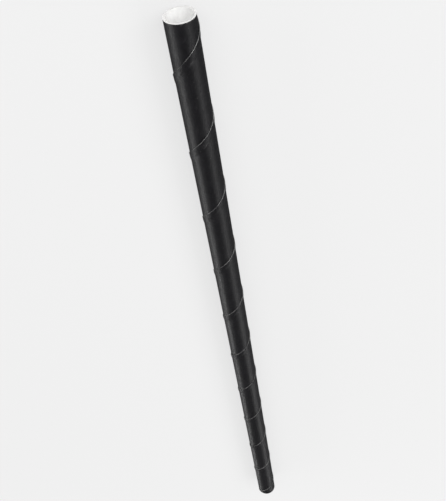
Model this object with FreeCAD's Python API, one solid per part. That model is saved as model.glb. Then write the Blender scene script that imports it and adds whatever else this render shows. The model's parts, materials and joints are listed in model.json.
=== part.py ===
import FreeCAD, Part
import math
import os

# One spiral-wound paper drinking straw, lying on its side with its axis along X and
# its mouth at the +X end. A black paper strip is wound round a white paper lining.
# The strip's leading edge laps over the turn before it, so a low step climbs the
# outside as a right-handed helix, with the free edge facing the mouth. The lining is
# wound the same way with its edges butted, which leaves a fine groove in the bore.

# Driving dimensions, in millimetres and degrees. Widths are square to the seam.
straw_length = 197.0
outside_diameter = 6.0
strip_thickness = 0.12
lining_thickness = 0.28
seam_lead = 18.6
lap_width = 0.75
lap_ramp_width = 0.9
lap_lift = 0.06
lining_seam_width = 0.12
lining_seam_depth = 0.1

# Where each seam meets the mouth, measured round from the straw's underside.
lap_angle_at_mouth = 310.0
lining_seam_angle_at_mouth = 150.0

# What follows from the driving dimensions.
outer_radius = outside_diameter / 2
lining_radius = outer_radius - strip_thickness
bore_radius = lining_radius - lining_thickness
lap_radius = outer_radius + strip_thickness
free_edge_radius = lap_radius + lap_lift
axis_height = free_edge_radius


def along_axis(width, radius):
    """The length along the axis of a width measured square to a seam at this radius."""
    angle_from_axis = math.atan2(2 * math.pi * radius, seam_lead)
    return width / math.sin(angle_from_axis)


def tube(inner_radius, wall_radius):
    """A plain tube as long as the straw, standing on its tail with its mouth up."""
    outside = Part.makeCylinder(wall_radius, straw_length)
    return outside.cut(Part.makeCylinder(inner_radius, straw_length))


def wound(section, angle_at_mouth):
    """A closed section of (radius, height) points, wound up the straw as a helix.

    Height 0 of the section is the line that meets the mouth at the given angle. The
    band is wound one lead past each end and trimmed flush with both.
    """
    corners = [FreeCAD.Vector(radius, 0, height) for radius, height in section]
    path = Part.makeHelix(seam_lead, straw_length + 2 * seam_lead, outer_radius)
    sweep = Part.BRepOffsetAPI.MakePipeShell(path)
    sweep.setFrenetMode(True)
    sweep.add(Part.makePolygon(corners + corners[:1]))
    sweep.build()
    sweep.makeSolid()
    band = sweep.shape()
    band.translate(FreeCAD.Vector(0, 0, -seam_lead))
    turned_up_to_mouth = 360 * straw_length / seam_lead
    band.rotate(FreeCAD.Vector(0, 0, 0), FreeCAD.Vector(0, 0, 1), angle_at_mouth - turned_up_to_mouth)
    return band.common(Part.makeCylinder(2 * outer_radius, straw_length))


def outer_strip():
    """The black strip: a tube of its thickness with the lap standing on its outside.

    The lap is highest at its free edge and one strip thick where the ply under it
    ends. From there it ramps down into the wall, and its root lies in the wall.
    """
    root_radius = lining_radius + strip_thickness / 2
    slope = strip_thickness / along_axis(lap_ramp_width, outer_radius)
    ply_end = -along_axis(lap_width, outer_radius)
    root_end = ply_end - (lap_radius - root_radius) / slope
    lap = [
        (root_radius, 0),
        (free_edge_radius, 0),
        (lap_radius, ply_end),
        (root_radius, root_end),
    ]
    return tube(lining_radius, outer_radius).fuse(wound(lap, lap_angle_at_mouth))


def lining():
    """The white lining: a tube with its butted seam as a fine groove in the bore."""
    seam_start = -along_axis(lining_seam_width, bore_radius)
    groove = [
        (bore_radius - lining_seam_depth, 0),
        (bore_radius + lining_seam_depth, 0),
        (bore_radius + lining_seam_depth, seam_start),
        (bore_radius - lining_seam_depth, seam_start),
    ]
    return tube(bore_radius, lining_radius).cut(wound(groove, lining_seam_angle_at_mouth))


def laid_down(upright):
    """The upright piece laid along X, its middle over the origin, resting on z = 0."""
    laid = upright.copy()
    laid.translate(FreeCAD.Vector(0, 0, -straw_length / 2))
    laid.rotate(FreeCAD.Vector(0, 0, 0), FreeCAD.Vector(0, 1, 0), 90)
    laid.translate(FreeCAD.Vector(0, 0, axis_height))
    return laid


os.makedirs("parts", exist_ok=True)
for name, make_piece in {"outer_strip": outer_strip, "lining": lining}.items():
    piece = laid_down(make_piece())
    piece.exportStep(f"parts/{name}.step")
    print(name, len(piece.Solids), "solid,", round(piece.Volume, 2), "cubic mm, valid", piece.isValid())
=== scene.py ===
import json
import math

import bpy
from mathutils import Matrix, Vector


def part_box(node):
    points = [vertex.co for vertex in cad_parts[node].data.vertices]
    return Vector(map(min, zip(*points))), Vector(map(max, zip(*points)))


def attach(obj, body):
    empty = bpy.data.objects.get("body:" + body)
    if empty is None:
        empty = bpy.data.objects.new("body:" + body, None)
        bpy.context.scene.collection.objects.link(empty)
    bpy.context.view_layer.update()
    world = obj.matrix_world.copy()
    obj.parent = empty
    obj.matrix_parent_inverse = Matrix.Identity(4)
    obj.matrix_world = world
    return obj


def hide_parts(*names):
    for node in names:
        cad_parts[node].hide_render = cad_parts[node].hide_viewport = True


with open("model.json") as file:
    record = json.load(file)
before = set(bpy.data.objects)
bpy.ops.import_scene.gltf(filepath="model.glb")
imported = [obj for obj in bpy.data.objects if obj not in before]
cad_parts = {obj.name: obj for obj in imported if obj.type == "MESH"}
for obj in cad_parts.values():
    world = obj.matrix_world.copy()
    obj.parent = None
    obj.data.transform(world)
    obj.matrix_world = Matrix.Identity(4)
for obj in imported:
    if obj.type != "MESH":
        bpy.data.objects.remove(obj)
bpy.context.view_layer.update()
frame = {"record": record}

mm = 0.001

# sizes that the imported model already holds
stripLow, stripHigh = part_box("outer_strip")
liningLow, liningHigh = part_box("lining")
strawLength = stripHigh.x - stripLow.x
axisHeight = (stripHigh.z + stripLow.z) / 2
liningRadius = (liningHigh.z - liningLow.z) / 2
boreMount = next(m for m in frame["record"]["mounts"] if m["name"] == "bore")
boreRadius = boreMount["dims"]["r_mm"] * mm

# how the paper is wound; angles are measured from +Y over the top, seen from the tail
winding = {
    "lead": 18.6 * mm,
    "stripThickness": 0.12 * mm,
    "lapAngleAtMouth": 220.0,
    "liningAngleAtMouth": 60.0,
}
outerRadius = liningRadius + winding["stripThickness"]
turnLength = math.hypot(2 * math.pi * outerRadius, winding["lead"])
acrossToAlong = turnLength / (2 * math.pi * outerRadius)


class Wire:
    # wraps a node's output, so that maths on it reads as an expression
    def __init__(self, tree, socket=None):
        self.tree = tree
        self.socket = socket

    def node(self, kind, settings=None, values=None, output=0):
        # settings are the node's own fields, set first; values are its sockets' values or links
        made = self.tree.nodes.new(kind)
        for name, setting in (settings or {}).items():
            setattr(made, name, setting)
        for key, value in (values or {}).items():
            if isinstance(value, Wire):
                self.tree.links.new(value.socket, made.inputs[key])
            else:
                made.inputs[key].default_value = value
        return Wire(self.tree, made.outputs[output])

    def maths(self, operation, *operands):
        # with no operands given, the wire itself is the one
        return self.node("ShaderNodeMath", {"operation": operation}, dict(enumerate(operands or [self])))

    def __add__(self, other):
        return self.maths("ADD", self, other)

    def __radd__(self, other):
        return self.maths("ADD", other, self)

    def __sub__(self, other):
        return self.maths("SUBTRACT", self, other)

    def __rsub__(self, other):
        return self.maths("SUBTRACT", other, self)

    def __mul__(self, other):
        return self.maths("MULTIPLY", self, other)

    def __rmul__(self, other):
        return self.maths("MULTIPLY", other, self)

    def __truediv__(self, other):
        return self.maths("DIVIDE", self, other)

    def __gt__(self, other):
        return self.maths("GREATER_THAN", self, other)

    def __lt__(self, other):
        return self.maths("LESS_THAN", self, other)

    def power(self, exponent):
        return self.maths("POWER", self, exponent)

    def atLeast(self, level):
        return self.maths("MAXIMUM", self, level)

    def atMost(self, level):
        return self.maths("MINIMUM", self, level)

    def clamped(self):
        return self.atLeast(0).atMost(1)

    def eased(self):
        # 0 to 1 with a soft start and end
        share = self.clamped()
        return share * share * (3 - 2 * share)

    def fade(self, start, end):
        # 0 up to start, 1 from end on
        return ((self - start) / (end - start)).eased()

    def atPoints(self):
        # worked out at each mesh point, whatever then reads it
        return self.node("GeometryNodeFieldOnDomain", {"domain": "POINT"}, {0: self})


def newMaterial(name):
    material = bpy.data.materials.new(name)
    material.use_nodes = True
    shader = material.node_tree.nodes["Principled BSDF"]
    return material, Wire(material.node_tree), shader


def join(wire, shader, socket):
    wire.tree.links.new(wire.socket, shader.inputs[socket])


def noise(wires, vector, scale, detail=2.0, roughness=0.5):
    values = {"Vector": vector, "Scale": scale, "Detail": detail, "Roughness": roughness}
    return wires.node("ShaderNodeTexNoise", {"noise_dimensions": "3D"}, values)


def tint(wires, factor, dark, light):
    return wires.node("ShaderNodeMix", {"data_type": "RGBA"}, {0: factor, 6: dark, 7: light}, 2)


def raised(wires, relief, strength, depth):
    return wires.node("ShaderNodeBump", None, {"Strength": strength, "Distance": depth, "Height": relief})


# Black print on the outside of the strip

blackPrint = {
    # noise scales are per millimetre of paper; the two grains are drawn out along the strip
    "ink": (0.0024, 0.0023, 0.0029, 1),
    "worn": (0.0064, 0.0061, 0.0076, 1),
    "bare": (0.42, 0.41, 0.40, 1),
    "roughness": 0.5,
    "specular": 0.36,
    "fibreGrain": (0.9, 6.0, 1.0),
    "streakGrain": (0.5, 7.0, 1.0),
    "cloudScale": 0.55,
    "blotchScale": 1.9,
    "speckScale": 5.0,
    "edgeBreakScale": 0.9,
    "foldBreakScale": 0.5,
    "endScuffScale": 3.2,
    "endScuffReach": 0.4 * mm,
    "reliefDepth": 0.06 * mm,
}

# across the strip, in millimetres from its free edge
acrossStrip = {"edgeScuff": (0.02, 0.12), "foldAt": 0.78, "foldScuff": (0.0, 0.07), "streaksFade": (1.0, 3.5)}

# how much of the bare paper each kind of wear shows, and what each grain adds to relief and roughness
wearShares = {"edge": 0.34, "fold": 0.2, "end": 0.16, "streaks": 0.22, "specks": 0.26}
reliefShares = {"fibres": 0.8, "blotches": 1.6, "clouds": 1.2}
roughnessShares = {"fibres": 0.12, "blotches": 0.42, "bare": 0.3}


def makeBlackPrint():
    material, wires, shader = newMaterial("blackPrint")
    strip = wires.node("ShaderNodeUVMap", {"uv_map": "strip"})
    inMillimetres = wires.node("ShaderNodeVectorMath", {"operation": "SCALE"}, {0: strip, "Scale": 1 / mm})
    along = wires.node("ShaderNodeSeparateXYZ", None, {0: inMillimetres}, 0)
    across = wires.node("ShaderNodeSeparateXYZ", None, {0: inMillimetres}, 1)
    fibrePlace = wires.node("ShaderNodeVectorMath", {"operation": "MULTIPLY"},
                            {0: inMillimetres, 1: blackPrint["fibreGrain"]})
    fibres = noise(wires, fibrePlace, 1.0, 3.0, 0.6)
    clouds = noise(wires, inMillimetres, blackPrint["cloudScale"], 3.0, 0.6)
    blotches = noise(wires, inMillimetres, blackPrint["blotchScale"], 2.0, 0.6)
    # the free edge is scraped in broken lines, and the ply under the lap shows as a second one
    edgeBreaks = noise(wires, along, blackPrint["edgeBreakScale"], 3.0, 0.7).fade(0.48, 0.66)
    edgeScuff = (1 - across.fade(*acrossStrip["edgeScuff"])) * edgeBreaks
    foldLine = (across - acrossStrip["foldAt"]).maths("ABSOLUTE")
    foldBreaks = noise(wires, along, blackPrint["foldBreakScale"], 3.0, 0.7).fade(0.55, 0.72)
    foldScuff = (1 - foldLine.fade(*acrossStrip["foldScuff"])) * foldBreaks
    # rubbing leaves short pale streaks along the strip, thickest near the lap
    streakPlace = wires.node("ShaderNodeVectorMath", {"operation": "MULTIPLY"},
                             {0: inMillimetres, 1: blackPrint["streakGrain"]})
    nearLap = 0.35 + 0.65 * (1 - across.fade(*acrossStrip["streaksFade"]))
    streakLines = noise(wires, streakPlace, 1.0, 2.0, 0.5).fade(0.66, 0.74)
    streaks = streakLines * clouds.fade(0.45, 0.62) * nearLap
    specks = noise(wires, inMillimetres, blackPrint["speckScale"], 1.0, 0.4).fade(0.74, 0.8)
    place = wires.node("ShaderNodeTexCoord", None, None, "Object")
    fromMiddle = wires.node("ShaderNodeSeparateXYZ", None, {0: place}, 0).maths("ABSOLUTE")
    nearEnd = fromMiddle.fade(strawLength / 2 - blackPrint["endScuffReach"], strawLength / 2)
    endScuff = nearEnd * noise(wires, inMillimetres, blackPrint["endScuffScale"], 3.0, 0.7).fade(0.5, 0.62)
    shares = wearShares
    bare = (edgeScuff * shares["edge"] + foldScuff * shares["fold"] + endScuff * shares["end"]
            + streaks * shares["streaks"] + specks * shares["specks"]).clamped()
    ink = tint(wires, (clouds * 0.6 + fibres * 0.5).fade(0.3, 0.85), blackPrint["ink"], blackPrint["worn"])
    join(tint(wires, bare, ink, blackPrint["bare"]), shader, "Base Color")
    shares = roughnessShares
    roughness = blackPrint["roughness"] + (blotches - 0.5) * shares["blotches"]
    roughness = roughness + (fibres - 0.5) * shares["fibres"] + bare * shares["bare"]
    join(roughness.clamped(), shader, "Roughness")
    shares = reliefShares
    relief = fibres * shares["fibres"] + blotches * shares["blotches"] + clouds * shares["clouds"]
    join(raised(wires, relief, 0.5, blackPrint["reliefDepth"]), shader, "Normal")
    shader.inputs["Specular IOR Level"].default_value = blackPrint["specular"]
    return material


# Bare white paper: the lining, and the plies where they are cut

whitePaper = {
    "roughness": 0.82,
    "specular": 0.3,
    "grainDepth": 0.02 * mm,
    "glueHalfWidth": (0.006 * mm, 0.022 * mm),
    "inkDepth": 0.03 * mm,
}

linedSide = {"light": (0.88, 0.878, 0.87, 1), "dark": (0.81, 0.808, 0.80, 1), "grainScale": 2600.0}
cutEnd = {"light": (0.88, 0.877, 0.868, 1), "dark": (0.72, 0.716, 0.705, 1), "grainScale": 5200.0}
freeEdge = {"light": (0.38, 0.377, 0.372, 1), "dark": (0.05, 0.05, 0.053, 1), "grainScale": 1800.0}


def makeWhitePaper(name, light, dark, grainScale, shade=None):
    # shade, where given, says how much of the light tone is lost at a place
    material, wires, shader = newMaterial(name)
    place = wires.node("ShaderNodeTexCoord", None, None, "Object")
    grain = noise(wires, place, grainScale, 3.0, 0.65)
    clouds = noise(wires, place, grainScale * 0.12, 2.0, 0.5)
    paleness = (grain * 0.6 + clouds * 0.5).fade(0.3, 0.8)
    if shade:
        paleness = paleness * (1 - shade(wires, place))
    join(tint(wires, paleness, dark, light), shader, "Base Color")
    join((whitePaper["roughness"] + (grain - 0.5) * 0.15).clamped(), shader, "Roughness")
    join(raised(wires, grain, 0.4, whitePaper["grainDepth"]), shader, "Normal")
    shader.inputs["Specular IOR Level"].default_value = whitePaper["specular"]
    return material


def betweenPlies(wires, place):
    # the glue lines between the lining's plies, and the ink that stains the outermost edge
    sideways = wires.node("ShaderNodeSeparateXYZ", None, {0: place}, 1)
    upwards = wires.node("ShaderNodeSeparateXYZ", None, {0: place}, 2) - axisHeight
    radius = (sideways * sideways + upwards * upwards).power(0.5)
    glue = 0
    for plyRadius in (boreRadius + (liningRadius - boreRadius) / 2, liningRadius):
        fromLine = (radius - plyRadius).maths("ABSOLUTE")
        glue = glue + (1 - fromLine.fade(*whitePaper["glueHalfWidth"]))
    ink = radius.fade(outerRadius - whitePaper["inkDepth"], outerRadius)
    return (glue * 0.7 + ink).clamped()


print("stage: materials")
blackPaper = makeBlackPrint()
linedPaper = makeWhitePaper("linedPaper", **linedSide)
cutPaper = makeWhitePaper("cutPaper", **cutEnd, shade=betweenPlies)
lipPaper = makeWhitePaper("lipPaper", **freeEdge)


# The wound tube: one closed shell whose rings are turned to follow the seam

def newTree(name, whole, lengths):
    # an empty tree, with a named input for each whole number and each length or other real number
    tree = bpy.data.node_groups.new(name, "GeometryNodeTree")
    identifiers = {}
    for kind, labels in (("NodeSocketInt", whole), ("NodeSocketFloat", lengths)):
        for label in labels:
            socket = tree.interface.new_socket(label, in_out="INPUT", socket_type=kind)
            identifiers[label] = socket.identifier
    tree.interface.new_socket("Geometry", in_out="OUTPUT", socket_type="NodeSocketGeometry")
    entry = tree.nodes.new("NodeGroupInput")
    given = {label: Wire(tree, entry.outputs[label]) for label in identifiers}
    return tree, identifiers, given


def finishTree(tree, geometry):
    out = tree.nodes.new("NodeGroupOutput")
    tree.links.new(geometry.socket, out.inputs["Geometry"])


tubeForm = {
    "gluedAtEnds": 1.2 * mm,        # the lip lies flat this near to a cut
    "liftPerMetre": 260.0,          # how fast the lip's gap varies along the straw
    "leastLift": 0.1,
    "cutGrain": (3.0, 3.0, 9.0),
    "cutScale": 2.2,
    "weld": 0.0001 * mm,
    "crease": math.radians(35),
}


def windingTree(name, facing, edge, end):
    tree, identifiers, given = newTree(name, ("Rings", "Columns"), (
        "Seed", "Length", "Lead", "Mouth Angle", "Axis Height", "Outer Radius", "Inner Radius",
        "Lap Thickness", "Lap Width", "Ramp Width", "Lip Lift", "Lip Undercut",
        "Groove Width", "Groove Depth", "Edge Crowding", "Ragged Cut"))
    wires = Wire(tree)
    rings, columns, lead = given["Rings"], given["Columns"], given["Lead"]

    # the grid's rows run up the outside and back down the inside, its columns go round
    grid = wires.node("GeometryNodeMeshGrid", None,
                      {"Size X": 1.0, "Size Y": 1.0, "Vertices X": 2 * rings + 1, "Vertices Y": columns})
    index = wires.node("GeometryNodeInputIndex")
    row = ((index + 0.5) / columns).maths("FLOOR").atPoints()
    column = (index - row * columns).atPoints()
    middleRow = rings - 0.5
    along = (middleRow - (row - middleRow).maths("ABSOLUTE")).atLeast(0) / (rings - 1)
    inside = (row > middleRow) * (row < 2 * rings - 0.5)
    height = along * given["Length"]
    fromEnd = height.atMost(given["Length"] - height)

    # columns 0 and 1 are the foot of the lip and its underside; the rest start at its top edge
    share = (column - 2).atLeast(0) / (columns - 3)
    foot = column < 0.5
    underside = (column > 0.5) * (column < 1.5)
    top = column > 1.5
    loose = fromEnd.fade(0.0, tubeForm["gluedAtEnds"])
    undercut = given["Lip Undercut"] * loose
    crowded = share.power(given["Edge Crowding"])
    across = (crowded * lead) + (1 - inside) * undercut * (foot + crowded)
    alongLift = height * tubeForm["liftPerMetre"] + given["Seed"]
    lifting = wires.node("ShaderNodeTexNoise", {"noise_dimensions": "1D"},
                         {"W": alongLift, "Scale": 1.0, "Detail": 3.0})
    least = tubeForm["leastLift"]
    gap = given["Lip Lift"] * loose * (least + (1 - least) * lifting.fade(0.3, 0.65))
    rampDown = 1 - ((across - given["Lap Width"]) / given["Ramp Width"]).eased()
    liftDown = 1 - (across / given["Lap Width"]).eased()
    lap = top * (given["Lap Thickness"] * rampDown + gap * liftDown) + underside * gap
    grooveShare = (across / given["Groove Width"]).clamped()
    groove = 4 * grooveShare * (1 - grooveShare) * given["Groove Depth"]
    radius = (given["Outer Radius"] + lap) * (1 - inside) + (given["Inner Radius"] + groove) * inside

    turned = (height - given["Length"] + across) * (2 * math.pi) / lead
    angle = given["Mouth Angle"] + turned
    sideways, upwards = angle.maths("COSINE"), angle.maths("SINE")
    grainRound, grainUp, grainAlong = tubeForm["cutGrain"]
    rim = wires.node("ShaderNodeCombineXYZ", None,
                     {0: sideways * grainRound, 1: upwards * grainUp, 2: along * grainAlong})
    ragged = noise(wires, rim, tubeForm["cutScale"], 4.0, 0.7) * given["Ragged Cut"]
    atMouth, atTail = along > 0.9999, along < 0.0001
    place = wires.node("ShaderNodeCombineXYZ", None, {
        0: height - given["Length"] / 2 - ragged * atMouth + ragged * atTail,
        1: sideways * radius,
        2: upwards * radius + given["Axis Height"],
    })
    shaped = wires.node("GeometryNodeSetPosition", None, {"Geometry": grid, "Position": place})

    # distances along and across the paper strip, in metres, as a UV map
    girth = 2 * math.pi * given["Outer Radius"]
    turn = (girth * girth + lead * lead).power(0.5)
    alongStrip = (turned * given["Outer Radius"] * girth + height * lead) / turn
    flat = wires.node("ShaderNodeCombineXYZ", None, {0: alongStrip, 1: across * girth / turn})
    mapped = wires.node("GeometryNodeStoreNamedAttribute", {"data_type": "FLOAT2", "domain": "CORNER"},
                        {"Geometry": shaped, "Name": "strip", "Value": flat})

    # which faces are cut paper: the lip's own edge, and the two ends
    isLip = (column < 1.9) * (row < rings - 0.9)
    isEnd = ((row - middleRow).maths("ABSOLUTE") < 0.1) + (row > 2 * rings - 0.9)
    marked = mapped
    for label, chosen in (("lipFace", isLip), ("endFace", isEnd)):
        marked = wires.node("GeometryNodeStoreNamedAttribute", {"data_type": "BOOLEAN", "domain": "FACE"},
                            {"Geometry": marked, "Name": label, "Value": chosen})
    closed = wires.node("GeometryNodeMergeByDistance", None,
                        {"Geometry": marked, "Distance": tubeForm["weld"]})
    # the longer diagonals would cut in under the round wall
    cut = wires.node("GeometryNodeTriangulate", {"quad_method": "SHORTEST_DIAGONAL"}, {"Mesh": closed})
    bend = wires.node("GeometryNodeInputMeshEdgeAngle")
    smooth = wires.node("GeometryNodeSetShadeSmooth", {"domain": "FACE"}, {"Geometry": cut})
    creased = wires.node("GeometryNodeSetShadeSmooth", {"domain": "EDGE"},
                         {"Geometry": smooth, "Selection": bend > tubeForm["crease"], "Shade Smooth": False})
    real = wires.node("GeometryNodeRealizeInstances", None, {"Geometry": creased})
    painted = wires.node("GeometryNodeSetMaterial", None, {"Geometry": real, "Material": facing})
    for label, material in (("lipFace", edge), ("endFace", end)):
        chosen = wires.node("GeometryNodeInputNamedAttribute", {"data_type": "BOOLEAN"}, {"Name": label})
        painted = wires.node("GeometryNodeSetMaterial", None,
                             {"Geometry": painted, "Selection": chosen, "Material": material})
    finishTree(tree, painted)
    return tree, identifiers


# Loose paper fibres: a tree that stands short bent hairs wherever a function puts them

def anyOf(wires, low, high, seed):
    # a random number between the two, another for each fibre
    return wires.node("FunctionNodeRandomValue", {"data_type": "FLOAT"}, {2: low, 3: high, 8: seed}, 1)


# where the fibres stand, as shares of the straw's length and of the paper's thickness, and how far
# they point along the axis, round the straw and outwards
freeEdgeSpread = {"along": (0.006, 0.994), "through": (0.1, 1.0), "axial": 1.0,
                  "roundward": (-1.6, 0.6), "outward": (-0.45, 0.05)}
cutEndSpread = {"through": (0.02, 0.98), "axial": (0.15, 0.7), "roundward": (-1, 1), "outward": (-1, 1)}


def alongFreeEdge(wires, given):
    # on the lap's edge, lying forward over the turn in front
    spread = freeEdgeSpread
    height = given["Length"] * anyOf(wires, *spread["along"], 1)
    angle = given["Mouth Angle"] + (height - given["Length"]) * (2 * math.pi) / given["Lead"]
    radius = given["Outer Radius"] + given["Lap Thickness"] * anyOf(wires, *spread["through"], 2)
    roundward, outward = anyOf(wires, *spread["roundward"], 3), anyOf(wires, *spread["outward"], 4)
    return height, angle, radius, spread["axial"], roundward, outward


def aroundBothEnds(wires, given):
    # on the cut plies at the mouth and the tail, sticking out a little
    spread = cutEndSpread
    atMouth = anyOf(wires, 0, 1, 1) > 0.5
    angle = anyOf(wires, 0, 2 * math.pi, 2)
    wall = given["Outer Radius"] - given["Inner Radius"]
    radius = given["Inner Radius"] + wall * anyOf(wires, *spread["through"], 3)
    axial = (2 * atMouth - 1) * anyOf(wires, *spread["axial"], 4)
    roundward, outward = anyOf(wires, *spread["roundward"], 5), anyOf(wires, *spread["outward"], 6)
    return given["Length"] * atMouth, angle, radius, axial, roundward, outward


def fibreTree(name, material, placed):
    tree, identifiers, given = newTree(name, ("Count", "Seed"), (
        "Length", "Lead", "Mouth Angle", "Axis Height", "Outer Radius", "Inner Radius",
        "Lap Thickness", "Fibre Length", "Fibre Radius", "Bend"))
    wires = Wire(tree)
    height, angle, radius, axial, roundward, outward = placed(wires, given)
    sideways, upwards = angle.maths("COSINE"), angle.maths("SINE")
    root = wires.node("ShaderNodeCombineXYZ", None, {
        0: height - given["Length"] / 2,
        1: sideways * radius,
        2: upwards * radius + given["Axis Height"],
    })
    pointing = wires.node("ShaderNodeCombineXYZ", None, {
        0: axial,
        1: sideways * outward - upwards * roundward,
        2: upwards * outward + sideways * roundward,
    })
    points = wires.node("GeometryNodePoints", None, {"Count": given["Count"], "Position": root})
    long, bend = given["Fibre Length"], given["Bend"]
    hair = wires.node("GeometryNodeCurvePrimitiveBezierSegment", None, {
        "Resolution": 5,
        "Start": (0, 0, 0),
        "Start Handle": wires.node("ShaderNodeCombineXYZ", None, {0: bend * -0.4, 2: long * 0.35}),
        "End Handle": wires.node("ShaderNodeCombineXYZ", None, {0: bend * 0.2, 2: long * 0.7}),
        "End": wires.node("ShaderNodeCombineXYZ", None, {0: bend, 2: long}),
    })
    section = wires.node("GeometryNodeCurvePrimitiveCircle", None,
                         {"Resolution": 4, "Radius": given["Fibre Radius"]})
    strand = wires.node("GeometryNodeCurveToMesh", None,
                        {"Curve": hair, "Profile Curve": section, "Fill Caps": True})
    spin = wires.node("ShaderNodeCombineXYZ", None, {2: anyOf(wires, 0, 2 * math.pi, given["Seed"] + 7)})
    spun = wires.node("FunctionNodeEulerToRotation", None, {0: spin})
    turned = wires.node("FunctionNodeAlignRotationToVector", {"axis": "Z"},
                        {"Rotation": spun, "Vector": pointing})
    size = anyOf(wires, 0.3, 1.0, given["Seed"] + 8)
    stood = wires.node("GeometryNodeInstanceOnPoints", None, {
        "Points": points,
        "Instance": strand,
        "Rotation": turned,
        "Scale": wires.node("ShaderNodeCombineXYZ", None, {0: size, 1: size, 2: size}),
    })
    real = wires.node("GeometryNodeRealizeInstances", None, {"Geometry": stood})
    painted = wires.node("GeometryNodeSetMaterial", None, {"Geometry": real, "Material": material})
    finishTree(tree, painted)
    return tree, identifiers


def grow(name, tree, identifiers, sizes):
    # a plain mesh of what the tree makes at these sizes
    holder = bpy.data.objects.new(name + "Maker", bpy.data.meshes.new(name + "Maker"))
    bpy.context.scene.collection.objects.link(holder)
    modifier = holder.modifiers.new("grow", "NODES")
    modifier.node_group = tree
    for label, value in sizes.items():
        modifier[identifiers[label]] = value
    evaluated = holder.evaluated_get(bpy.context.evaluated_depsgraph_get())
    mesh = bpy.data.meshes.new_from_object(evaluated)
    mesh.name = name
    mesh.materials.pop(index=0)
    bpy.data.objects.remove(holder)
    piece = bpy.data.objects.new(name, mesh)
    bpy.context.scene.collection.objects.link(piece)
    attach(piece, "root")
    return piece


shared = {
    "Length": strawLength,
    "Lead": winding["lead"],
    "Axis Height": axisHeight,
    "Ragged Cut": 0.03 * mm,
}

stripSizes = {
    "Rings": 480,
    "Columns": 87,
    "Seed": 3.0,
    "Mouth Angle": math.radians(winding["lapAngleAtMouth"]),
    "Outer Radius": outerRadius,
    "Inner Radius": liningRadius,
    "Lap Thickness": winding["stripThickness"],
    "Lap Width": 0.75 * mm * acrossToAlong,
    "Ramp Width": 0.9 * mm * acrossToAlong,
    "Lip Lift": 0.06 * mm,
    "Lip Undercut": 0.3 * mm,
    "Groove Width": 1.0 * mm,
    "Groove Depth": 0.0,
    "Edge Crowding": 1.5,
}

liningSizes = {
    "Rings": 480,
    "Columns": 75,
    "Seed": 8.0,
    "Mouth Angle": math.radians(winding["liningAngleAtMouth"]),
    "Outer Radius": liningRadius,
    "Inner Radius": boreRadius,
    "Lap Thickness": 0.0,
    "Lap Width": 1.0 * mm,
    "Ramp Width": 1.0 * mm,
    "Lip Lift": 0.0,
    "Lip Undercut": 0.0,
    "Groove Width": 0.17 * mm,
    "Groove Depth": 0.09 * mm,
    "Edge Crowding": 1.5,
}

print("stage: outer strip")
stripTree, stripSockets = windingTree("windOuterStrip", blackPaper, lipPaper, cutPaper)
woundStrip = grow("wound_strip", stripTree, stripSockets, shared | stripSizes)
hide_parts("outer_strip")

print("stage: lining")
liningTree, liningSockets = windingTree("windLining", linedPaper, linedPaper, cutPaper)
woundLining = grow("wound_lining", liningTree, liningSockets, shared | liningSizes)
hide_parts("lining")

fibreSizes = {
    "Length": strawLength,
    "Lead": winding["lead"],
    "Mouth Angle": math.radians(winding["lapAngleAtMouth"]),
    "Axis Height": axisHeight,
    "Outer Radius": outerRadius,
    "Inner Radius": boreRadius,
    "Lap Thickness": winding["stripThickness"],
    "Fibre Radius": 0.005 * mm,
}

edgeFibres = {"Count": 800, "Seed": 20, "Fibre Length": 0.15 * mm, "Bend": 0.04 * mm}
endFibres = {"Count": 420, "Seed": 40, "Fibre Length": 0.16 * mm, "Bend": 0.05 * mm}

print("stage: loose fibres")
edgeTree, edgeSockets = fibreTree("edgeFibres", lipPaper, alongFreeEdge)
grow("edge_fibres", edgeTree, edgeSockets, fibreSizes | edgeFibres)
endTree, endSockets = fibreTree("endFibres", cutPaper, aroundBothEnds)
grow("end_fibres", endTree, endSockets, fibreSizes | endFibres)


# Floor, lamps and camera

studio = {
    # the lifts and the seen level are what only the camera sees
    "floorHalf": 3.0,
    "floorRoughness": 0.9,
    "floorNear": {"colour": (0.15, 0.15, 0.15, 1), "lift": (0.67, 0.67, 0.67, 1)},
    "floorFar": {"colour": (0.02, 0.02, 0.02, 1), "lift": (0.865, 0.865, 0.865, 1)},
    "floorChange": (0.25, 0.75),
    "world": 0.07,
    "worldSeen": 0.81,
}

lamps = {
    # each: its middle, the point it faces, its long and short sides, how bright its face is,
    # and whether a shiny surface shows it; the panels alone draw the sheen along the black paper
    "front": {"middle": (0.56, -0.1, 0.41), "facing": (0.1, 0, 0),
              "size": (1.7, 0.26), "radiance": 6.5, "mirrored": False},
    "back": {"middle": (-0.56, 0.03, 0.36), "facing": (-0.1, 0, 0),
             "size": (0.9, 0.26), "radiance": 5.0, "mirrored": False},
    "rightPanel": {"middle": (-0.5, -0.42, 0.35), "facing": (-0.5, 0, 0),
                   "size": (1.6, 0.24), "radiance": 2.5, "mirrored": True},
    "leftPanel": {"middle": (-0.5, 0.95, 0.16), "facing": (-0.5, 0, 0),
                  "size": (2.4, 0.26), "radiance": 5.9, "mirrored": True},
}


def onlySeen(wires, level):
    # light that only the camera sees
    return level * wires.node("ShaderNodeLightPath", None, None, "Is Camera Ray")


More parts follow.
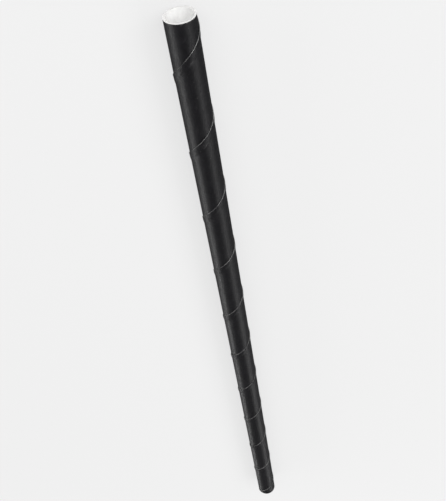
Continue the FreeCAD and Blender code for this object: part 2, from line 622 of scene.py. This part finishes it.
def makeFloor():
    half = studio["floorHalf"]
    mesh = bpy.data.meshes.new("floor")
    corners = [(-half, -half, 0), (half, -half, 0), (half, half, 0), (-half, half, 0)]
    mesh.from_pydata(corners, [], [(0, 1, 2, 3)])
    floor = bpy.data.objects.new("floor", mesh)
    bpy.context.scene.collection.objects.link(floor)
    material, wires, shader = newMaterial("floorCard")
    shader.inputs["Roughness"].default_value = studio["floorRoughness"]
    shader.inputs["Specular IOR Level"].default_value = 0.0
    # the card takes the lamps' light round the straw, and is as pale of itself further out
    place = wires.node("ShaderNodeTexCoord", None, None, "Object")
    fromStraw = wires.node("ShaderNodeVectorMath", {"operation": "LENGTH"}, {0: place}, "Value")
    near, far = studio["floorNear"], studio["floorFar"]
    change = fromStraw.fade(*studio["floorChange"])
    join(tint(wires, change, near["colour"], far["colour"]), shader, "Base Color")
    join(tint(wires, change, near["lift"], far["lift"]), shader, "Emission Color")
    join(onlySeen(wires, 1.0), shader, "Emission Strength")
    mesh.materials.append(material)


def makeWorld():
    world = bpy.data.worlds.new("studio")
    world.use_nodes = True
    sky = world.node_tree.nodes["Background"]
    sky.inputs["Color"].default_value = (1, 1, 1, 1)
    wires = Wire(world.node_tree)
    join(studio["world"] + onlySeen(wires, studio["worldSeen"]), sky, "Strength")
    bpy.context.scene.world = world


def makeLamp(name, middle, facing, size, radiance, mirrored):
    light = bpy.data.lights.new(name, "AREA")
    light.shape = "RECTANGLE"
    light.size, light.size_y = size
    light.energy = radiance * math.pi * light.size * light.size_y    # watts for a face this bright
    lamp = bpy.data.objects.new(name, light)
    bpy.context.scene.collection.objects.link(lamp)
    lamp.location = middle
    lamp.rotation_euler = (Vector(middle) - Vector(facing)).to_track_quat("Z", "Y").to_euler()
    lamp.visible_camera = False
    lamp.visible_glossy = mirrored


photoView = {
    # the mouth's distance in straw diameters, the steepness of the look at it, the lean of the straw
    # in the picture and the share of the picture's height that it fills
    "sensorWidth": 36.0,
    "diametersAway": 21.0,
    "angleToAxis": 61.0,
    "lean": 10.5,
    "pictureShare": 0.94,
}


def makeCamera():
    # looks down on the lying straw from beyond its mouth, with the mouth at the picture's top
    mouth = Vector((strawLength / 2, 0, axisHeight))
    away = photoView["diametersAway"] * 2 * outerRadius
    steep = math.radians(photoView["angleToAxis"])
    place = mouth + away * Vector((math.cos(steep), 0, math.sin(steep)))
    tailSteep = math.atan2(place.z - axisHeight, place.x + strawLength / 2)
    middle = (steep + tailSteep) / 2
    halfAngle = (steep - tailSteep) / 2
    lean = math.radians(photoView["lean"])
    data = bpy.data.cameras.new("photoView")
    data.sensor_width = photoView["sensorWidth"]
    halfPicture = photoView["sensorWidth"] / 2 * photoView["pictureShare"] / math.cos(lean)
    data.lens = halfPicture / math.tan(halfAngle)
    data.clip_start, data.clip_end = 0.005, 20
    towardsMouth = Vector((math.sin(middle), 0, -math.cos(middle)))
    rightOfStraw = Vector((0, -1, 0))
    back = Vector((math.cos(middle), 0, math.sin(middle)))
    up = math.cos(lean) * towardsMouth + math.sin(lean) * rightOfStraw
    right = math.cos(lean) * rightOfStraw - math.sin(lean) * towardsMouth
    camera = bpy.data.objects.new("photoView", data)
    bpy.context.scene.collection.objects.link(camera)
    turned = Matrix((right, up, back)).transposed().to_4x4()
    camera.matrix_world = Matrix.Translation(place) @ turned
    bpy.context.scene.camera = camera


print("stage: studio")
makeFloor()
makeWorld()
for lampName, lampSizes in lamps.items():
    makeLamp(lampName, **lampSizes)
makeCamera()
bpy.context.scene.view_settings.view_transform = "Standard"
